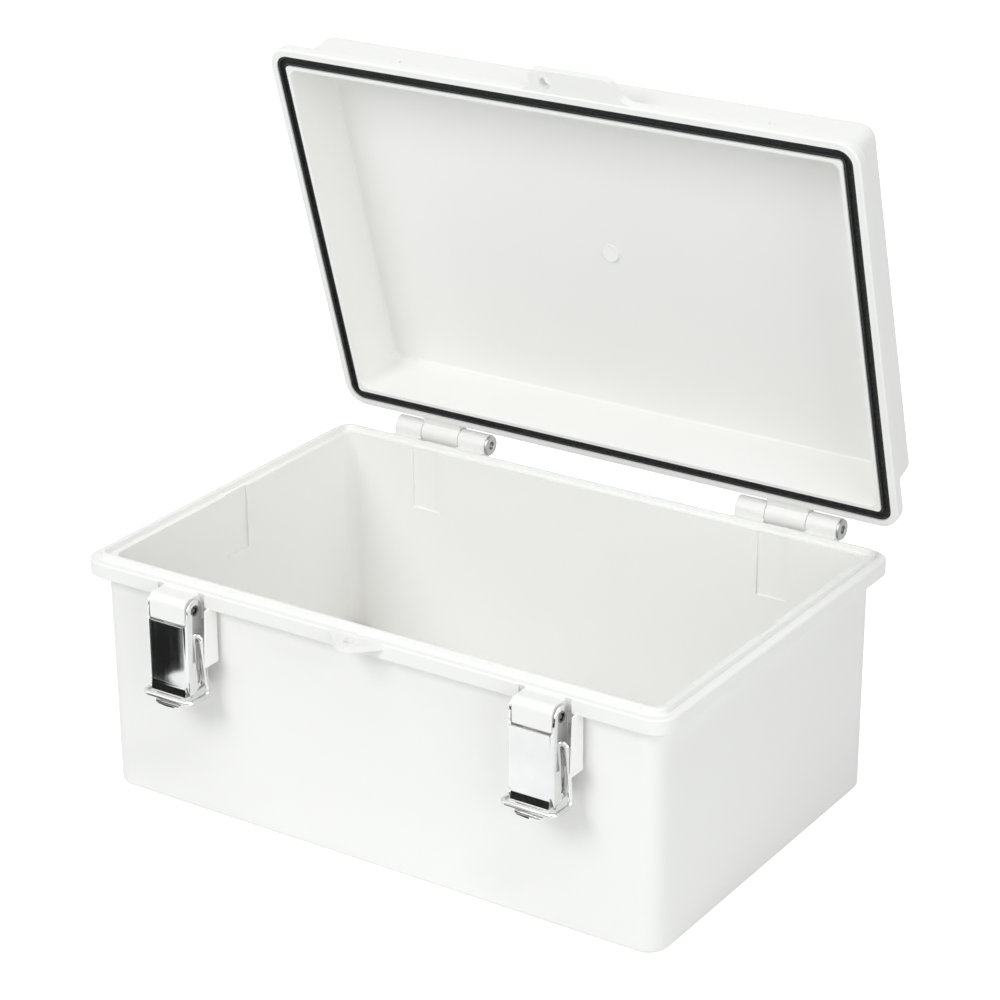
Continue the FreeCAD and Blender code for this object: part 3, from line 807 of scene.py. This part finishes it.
    def fold(self, s: float, t: float) -> Vector:
        """Place of a point of the flat pattern on the folded lever's outer face."""
        flat = self.flat_half()
        if abs(s) <= flat:
            y, z = self._along_profile(t)
            return Vector((s, y, z))
        sign = math.copysign(1.0, s)
        beyond = abs(s) - flat
        if beyond < self.bend_length():
            angle = beyond / self.bend_r
            x = flat + self.bend_r * math.sin(angle)
            y = -self.plate_out + self.bend_r * (1 - math.cos(angle))
        else:
            x = self.half_width
            y = -self.plate_out + self.bend_r + beyond - self.bend_length()
        return Vector((sign * x, y, t))

    def _along_profile(self, t: float) -> Point2:
        """Place on the front's outer line at height t of the flat pattern."""
        lines = self.profile()
        left = -self.top_drop - t
        for first, second in zip(lines, lines[1:]):
            step = (second - first).length
            if left <= step + 1e-6:
                spot = first.lerp(second, left / step)
                return spot.x, spot.y
            left -= step
        return lines[-1].x, lines[-1].y

    def build(self) -> bpy.types.Object:
        """Cuts, folds and thickens the sheet and hangs it on its pivot."""
        name = f"latch_lever_sheet_{self.side.value}"
        shape = flat_pattern(name, [self.outline(), *self.holes()])
        across, along = self.cut_lines()
        for place in across:
            bmesh.ops.bisect_plane(shape, geom=shape.verts[:] + shape.edges[:] + shape.faces[:],
                                   plane_co=(place, 0, 0), plane_no=(1, 0, 0), dist=1e-5)
        for place in along:
            bmesh.ops.bisect_plane(shape, geom=shape.verts[:] + shape.edges[:] + shape.faces[:],
                                   plane_co=(0, place, 0), plane_no=(0, 1, 0), dist=1e-5)
        # The plate's faces are joined, because their seams would show as bright lines in the mirror finish.
        side, foot = self.flat_half() + self.join_slack, along[0] - self.join_slack
        plate = [face for face in shape.faces if all(abs(v.co.x) <= side and v.co.y >= foot for v in face.verts)]
        bmesh.ops.dissolve_faces(shape, faces=plate)
        for vertex in shape.verts:
            vertex.co = self.fold(vertex.co.x, vertex.co.y)
        centre = self.frame.pivot(f"lever_{self.side.value}_pivot")
        bmesh.ops.transform(shape, matrix=Matrix.Translation(centre) @ Matrix.Scale(MM, 4), verts=shape.verts)
        mesh = bpy.data.meshes.new(name)
        shape.to_mesh(mesh)
        shape.free()
        piece = as_object(name, mesh, self.finishes.lever)
        smooth(piece, 35.0)
        thicken = piece.modifiers.new("sheet", "SOLIDIFY")
        thicken.thickness = self.thickness * MM
        thicken.offset = -1.0
        # Known fault: the even offset throws one vertex out behind the plate, which leaves a spike of stray faces.
        thicken.use_even_offset = True
        round_edges(piece, self.edge_r * MM, 2, 50.0)
        flatten_shading(piece)
        mount(piece, f"lever_{self.side.value}", f"latch_lever_{self.side.value}")
        return piece


@dataclass
class WireBail:
    """Bent wire bail of one latch, in millimetres about its eye until it is placed."""

    frame: Frame
    finishes: Finishes
    side: Side
    wire_r: float = 1.15
    half_width: float = 12.3
    peg: float = 3.4
    corner: Point2 = (3.2, -28.0)
    bar: Point2 = (-9.4, -27.5)
    eye_bend_r: float = 1.5
    bend_r: float = 2.5
    arc_steps: int = 10

    def build(self) -> bpy.types.Object:
        """Bends the wire and hangs it in the lever's eyes."""
        half = [(self.half_width - self.peg, 0.0, 0.0), (self.half_width, 0.0, 0.0),
                (self.half_width, *self.corner), (self.half_width, *self.bar)]
        left = [Vector((-x, y, z)) for x, y, z in half]
        right = [Vector(point) for point in reversed(half)]
        radii = [self.eye_bend_r, self.bend_r, self.bend_r, self.bend_r, self.bend_r, self.eye_bend_r]
        line = rounded_points(left + right, radii, self.arc_steps)
        eye = self.frame.pivot(f"bail_{self.side.value}_pivot")
        points = [eye + point * MM for point in line]
        mesh = wire_mesh(f"latch_bail_wire_{self.side.value}", points, self.wire_r * MM)
        piece = as_object(mesh.name, mesh, self.finishes.wire)
        smooth(piece, 45.0)
        mount(piece, f"bail_{self.side.value}", f"latch_bail_{self.side.value}")
        return piece


@dataclass
class PivotRivet:
    """Hollow-ended rivet on which one lever turns, in a steel painted dark as painted shade of its hollow ends."""

    frame: Frame
    finishes: Finishes
    side: Side
    half_length: float = 10.85 * MM
    shank_r: float = 2.0 * MM
    lip_r: float = 2.35 * MM
    lip_thickness: float = 0.22 * MM
    hollow_r: float = 1.55 * MM
    hollow_depth: float = 1.6 * MM
    dome_r: float = 0.75 * MM
    dome_sink: float = 0.35 * MM

    def build(self) -> bpy.types.Object:
        """Turns the rivet and sets it on the lever's axis."""
        end, lip = self.half_length, self.lip_thickness
        dome = end - self.dome_sink
        half = [(dome, 0.0), (dome - 0.05 * MM, self.dome_r * 0.5), (dome - 0.2 * MM, self.dome_r),
                (end - self.hollow_depth, self.dome_r + 0.1 * MM),
                (end - self.hollow_depth, self.hollow_r - 0.1 * MM),
                (end - self.hollow_depth * 0.85, self.hollow_r), (end - lip * 0.6, self.hollow_r),
                (end, self.hollow_r + lip), (end, self.lip_r - lip), (end - lip * 0.4, self.lip_r),
                (end - lip, self.lip_r), (end - lip, self.shank_r)]
        profile = [(-x, r) for x, r in half] + [(x, r) for x, r in reversed(half)]
        centre = self.frame.pivot(f"lever_{self.side.value}_pivot")
        mesh = lathe_x(f"latch_rivet_{self.side.value}", profile, centre)
        # The rivet takes the darkened steel, whose dark tone is painted shade.
        piece = as_object(mesh.name, mesh, self.finishes.rivet)
        smooth(piece, 40.0)
        mount(piece, "base", f"latch_pivot_pin_{self.side.value}")
        return piece


@dataclass
class HingePin:
    """Hinge pin whose flat head covers the end of the barrel, with a deep socket and a bright centre point."""

    frame: Frame
    finishes: Finishes
    side: Side
    shank_r: float = 2.5 * MM
    head_r: float = 4.6 * MM
    head_height: float = 1.1 * MM
    socket_r: float = 1.9 * MM
    socket_depth: float = 1.4 * MM
    edge: float = 0.3 * MM
    point_r: float = 0.7 * MM

    def build(self) -> bpy.types.Object:
        """Turns the pin between the ends of its frame node."""
        node = f"hinge_pin_{self.side.value}"
        low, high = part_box(node)
        centre = Vector(((low.x + high.x) / 2, (low.y + high.y) / 2, (low.z + high.z) / 2))
        half = (high.x - low.x) / 2
        seat = half - self.head_height
        floor = half - self.socket_depth
        profile = [(-half, 0.0), (-half, self.shank_r - self.edge), (-half + self.edge, self.shank_r),
                   (seat, self.shank_r), (seat, self.head_r), (half - self.edge, self.head_r),
                   (half - self.edge * 0.3, self.head_r - self.edge * 0.4), (half, self.head_r - self.edge),
                   (half, self.socket_r + self.edge * 0.5), (half - self.edge * 0.5, self.socket_r),
                   (floor, self.socket_r), (floor, self.point_r), (floor + self.edge, self.point_r * 0.8),
                   (floor + 2 * self.edge, 0.0)]
        mesh = lathe_x(f"hinge_pin_turned_{self.side.value}", profile, centre)
        piece = as_object(mesh.name, mesh, self.finishes.pin)
        smooth(piece, 30.0)
        mount(piece, "base", node)
        return piece


@dataclass
class ThreadedInsert:
    """Brass insert with a knurled outside and thread rings in its bore."""

    frame: Frame
    finishes: Finishes
    node: str
    bore_r: float
    pitch: float
    thread_depth: float = 0.25 * MM
    chamfer: float = 0.3 * MM
    segments: int = 40

    def build(self) -> bpy.types.Object:
        """Turns the insert about Z inside its frame node's box."""
        low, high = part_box(self.node)
        centre = Vector(((low.x + high.x) / 2, (low.y + high.y) / 2, 0.0))
        outer = (high.x - low.x) / 2
        bottom, top = low.z, high.z
        profile = [(bottom, self.bore_r + self.chamfer), (bottom, outer - self.chamfer),
                   (bottom + self.chamfer, outer), (top - self.chamfer, outer), (top, outer - self.chamfer),
                   (top, self.bore_r + self.chamfer)]
        turns = int((top - bottom - 2 * self.chamfer) / self.pitch)
        for turn in range(turns):
            height = top - self.chamfer - turn * self.pitch
            profile += [(height, self.bore_r), (height - self.pitch / 2, self.bore_r + self.thread_depth)]
        shape = bmesh.new()
        rings = []
        for height, radius in profile:
            ring = []
            for index in range(self.segments):
                angle = 2 * math.pi * index / self.segments
                knurl = 0.08 * MM if radius >= outer and index % 2 else 0.0
                spot = Vector(((radius - knurl) * math.cos(angle), (radius - knurl) * math.sin(angle), height))
                ring.append(shape.verts.new(centre + spot))
            rings.append(ring)
        for first, second in zip(rings, rings[1:] + rings[:1]):
            for index in range(self.segments):
                following = (index + 1) % self.segments
                shape.faces.new((first[index], first[following], second[following], second[index]))
        mesh = mesh_from(f"{self.node}_turned", shape)
        piece = as_object(mesh.name, mesh, self.finishes.insert)
        smooth(piece, 30.0)
        mount(piece, "base", self.node)
        return piece


@dataclass
class Studio:
    """Pale floor, soft lamps, the world and the camera."""

    focal_px: float = 3079.71
    image_px: float = 1000.0
    sensor_mm: float = 36.0
    azimuth_deg: float = 33.53
    elevation_deg: float = 22.71
    roll_deg: float = -0.34
    track: Point2 = (-4.86 * MM, -123.54 * MM)
    distance: float = 1355.44 * MM
    datum_z: float = 1.0 * MM
    floor_size: float = 12.0
    lamps: tuple = field(default=(
        ("key", (-0.6, -1.9, 1.6), 1.0, 21.8),
        ("low", (-1.6, -1.75, 0.75), 0.8, 2.4),
        ("fill", (2.0, -0.9, 0.9), 1.5, 17.0),
        ("top", (0.0, -0.3, 2.4), 1.8, 16.5),
    ))
    lamp_tone: Point3 = (0.972, 0.99, 1.0)
    glow_mirrored: float = 0.3
    glow_seen: float = 0.9
    world_light: float = 0.3
    world_seen: float = 1.1
    card_z: float = 2.0 * MM
    cards: tuple = field(default=(
        ("plate_left", 0.012, ((-0.264, -0.295), (-0.238, -0.295), (-0.181, -0.2255), (-0.1842, -0.2215),
                               (-0.1846, -0.2175), (-0.1822, -0.2148), (-0.1765, -0.2112), (-0.168, -0.2085),
                               (-0.194, -0.2085))),
        ("far", 0.02, ((-0.8, -0.9), (0.05, -0.9), (0.08, -0.278), (-0.25, -0.278))),
        ("foot_left", 0.02, ((-0.165, -0.172), (-0.135, -0.172), (-0.118, -0.1), (-0.157, -0.1))),
        ("foot_right", 0.02, ((0.03, -0.16), (0.05, -0.16), (0.068, -0.1), (0.038, -0.1))),
    ))

    def build(self) -> None:
        """Sets up floor, world, lamps and camera."""
        self._floor()
        self._cards()
        self._world()
        for name, place, size, power in self.lamps:
            self._lamp(name, Vector(place), size, power)
        self._camera()

    def _floor(self) -> None:
        """Pale floor that renders white and keeps the object's shadow."""
        shape = bmesh.new()
        bmesh.ops.create_grid(shape, x_segments=1, y_segments=1, size=self.floor_size / 2)
        mesh = bpy.data.meshes.new("studio_floor")
        shape.to_mesh(mesh)
        shape.free()
        shader = Shader("studio_paper")
        shader.constant(roughness=0.9, specular_ior_level=0.0)
        shader.surface.inputs["Base Color"].default_value = (0.86, 0.86, 0.86, 1.0)
        tree = shader.tree
        glow = tree.nodes.new("ShaderNodeEmission")
        path = tree.nodes.new("ShaderNodeLightPath")
        level = tree.nodes.new("ShaderNodeMapRange")
        level.inputs["To Min"].default_value = self.glow_mirrored
        level.inputs["To Max"].default_value = self.glow_seen
        shader.link(path.outputs["Is Camera Ray"], level.inputs["Value"])
        shader.link(level.outputs["Result"], glow.inputs["Strength"])
        both = tree.nodes.new("ShaderNodeAddShader")
        pick = tree.nodes.new("ShaderNodeMixShader")
        either = tree.nodes.new("ShaderNodeMath")
        either.operation = "MAXIMUM"
        shader.link(path.outputs["Is Camera Ray"], either.inputs[0])
        shader.link(path.outputs["Is Glossy Ray"], either.inputs[1])
        shader.link(shader.surface.outputs["BSDF"], both.inputs[0])
        shader.link(glow.outputs["Emission"], both.inputs[1])
        shader.link(either.outputs["Value"], pick.inputs["Fac"])
        shader.link(shader.surface.outputs["BSDF"], pick.inputs[1])
        shader.link(both.outputs["Shader"], pick.inputs[2])
        shader.link(pick.outputs["Shader"], shader.output.inputs["Surface"])
        floor = as_object("studio_floor", mesh, shader.material)

    def _cards(self) -> None:
        """Dark cards that only glossy rays see, placed for what the camera sees mirrored in the latches."""
        for name, tone, outline in self.cards:
            shader = Shader(f"studio_card_{name}")
            shader.constant(roughness=0.9, specular_ior_level=0.0)
            shader.surface.inputs["Base Color"].default_value = (tone, tone, tone, 1.0)
            shape = bmesh.new()
            shape.faces.new([shape.verts.new((x, y, self.card_z)) for x, y in outline])
            card = as_object(f"studio_card_{name}", mesh_from(f"studio_card_{name}", shape), shader.material)
            card.visible_camera = False
            card.visible_diffuse = False
            card.visible_shadow = False
            card.visible_transmission = False

    def _world(self) -> None:
        """Soft even world light, plain white to the camera and in reflections."""
        world = bpy.data.worlds.new("studio_world")
        bpy.context.scene.world = world
        world.use_nodes = True
        tree = world.node_tree
        tree.nodes.clear()
        output = tree.nodes.new("ShaderNodeOutputWorld")
        light = tree.nodes.new("ShaderNodeBackground")
        light.inputs["Color"].default_value = (*self.lamp_tone, 1.0)
        light.inputs["Strength"].default_value = self.world_light
        seen = tree.nodes.new("ShaderNodeBackground")
        seen.inputs["Color"].default_value = (1.0, 1.0, 1.0, 1.0)
        seen.inputs["Strength"].default_value = self.world_seen
        path = tree.nodes.new("ShaderNodeLightPath")
        either = tree.nodes.new("ShaderNodeMath")
        either.operation = "MAXIMUM"
        pick = tree.nodes.new("ShaderNodeMixShader")
        tree.links.new(path.outputs["Is Camera Ray"], either.inputs[0])
        tree.links.new(path.outputs["Is Glossy Ray"], either.inputs[1])
        tree.links.new(either.outputs["Value"], pick.inputs["Fac"])
        tree.links.new(light.outputs["Background"], pick.inputs[1])
        tree.links.new(seen.outputs["Background"], pick.inputs[2])
        tree.links.new(pick.outputs["Shader"], output.inputs["Surface"])

    def _lamp(self, name: str, place: Vector, size: float, power: float) -> None:
        """Adds one square soft lamp that points at the box."""
        data = bpy.data.lights.new(f"lamp_{name}", "AREA")
        data.shape = "SQUARE"
        data.size = size
        data.energy = power
        data.color = self.lamp_tone
        lamp = bpy.data.objects.new(data.name, data)
        lamp.location = place
        lamp.rotation_mode = "QUATERNION"
        lamp.rotation_quaternion = (Vector((0.0, 0.0, 0.12)) - place).to_track_quat("-Z", "Y")
        bpy.context.scene.collection.objects.link(lamp)

    def _camera(self) -> None:
        """Camera of the photograph, from its fitted angles, distance and focal length."""
        turn, rise, roll = (math.radians(value) for value in (self.azimuth_deg, self.elevation_deg, self.roll_deg))
        back = Vector((math.sin(turn) * math.cos(rise), -math.cos(turn) * math.cos(rise), math.sin(rise)))
        level = Vector((math.cos(turn), math.sin(turn), 0.0))
        upright = back.cross(level)
        right = level * math.cos(roll) + upright * math.sin(roll)
        up = upright * math.cos(roll) - level * math.sin(roll)
        place = back * self.distance - right * self.track[0] - up * self.track[1]
        place.z += self.datum_z
        data = bpy.data.cameras.new("photo_camera")
        data.sensor_width = self.sensor_mm
        data.lens = self.focal_px * self.sensor_mm / self.image_px
        data.clip_start = 0.05
        data.clip_end = 30.0
        camera = bpy.data.objects.new("photo_camera", data)
        axes = Matrix((right, up, back)).transposed().to_4x4()
        camera.matrix_world = Matrix.Translation(place) @ axes
        bpy.context.scene.collection.objects.link(camera)
        bpy.context.scene.camera = camera


def corners(box: tuple[Vector, Vector]) -> list[list[float]]:
    """A box as plain lists of numbers."""
    return [list(box[0]), list(box[1])]


def main() -> None:
    """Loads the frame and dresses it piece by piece."""
    logging.basicConfig(level=logging.INFO, format="%(name)s %(message)s")
    frame = Frame(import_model())
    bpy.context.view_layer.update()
    finishes = Finishes.make()
    MouldedShells(frame, finishes).build()
    GateDisc(frame, finishes).build()
    FoamSeal(frame, finishes).build()
    for side in Side:
        LeverSheet(frame, finishes, side).build()
        WireBail(frame, finishes, side).build()
        PivotRivet(frame, finishes, side).build()
        HingePin(frame, finishes, side).build()
    for node in sorted(name for name in frame.data["nodes"] if "insert" in name):
        metric = (1.65 * MM, 0.7 * MM) if node.startswith("plate") else (2.1 * MM, 0.8 * MM)
        ThreadedInsert(frame, finishes, node, *metric).build()
    Studio().build()
    bpy.context.scene.view_settings.view_transform = "Standard"


if __name__ == "__main__":
    main()
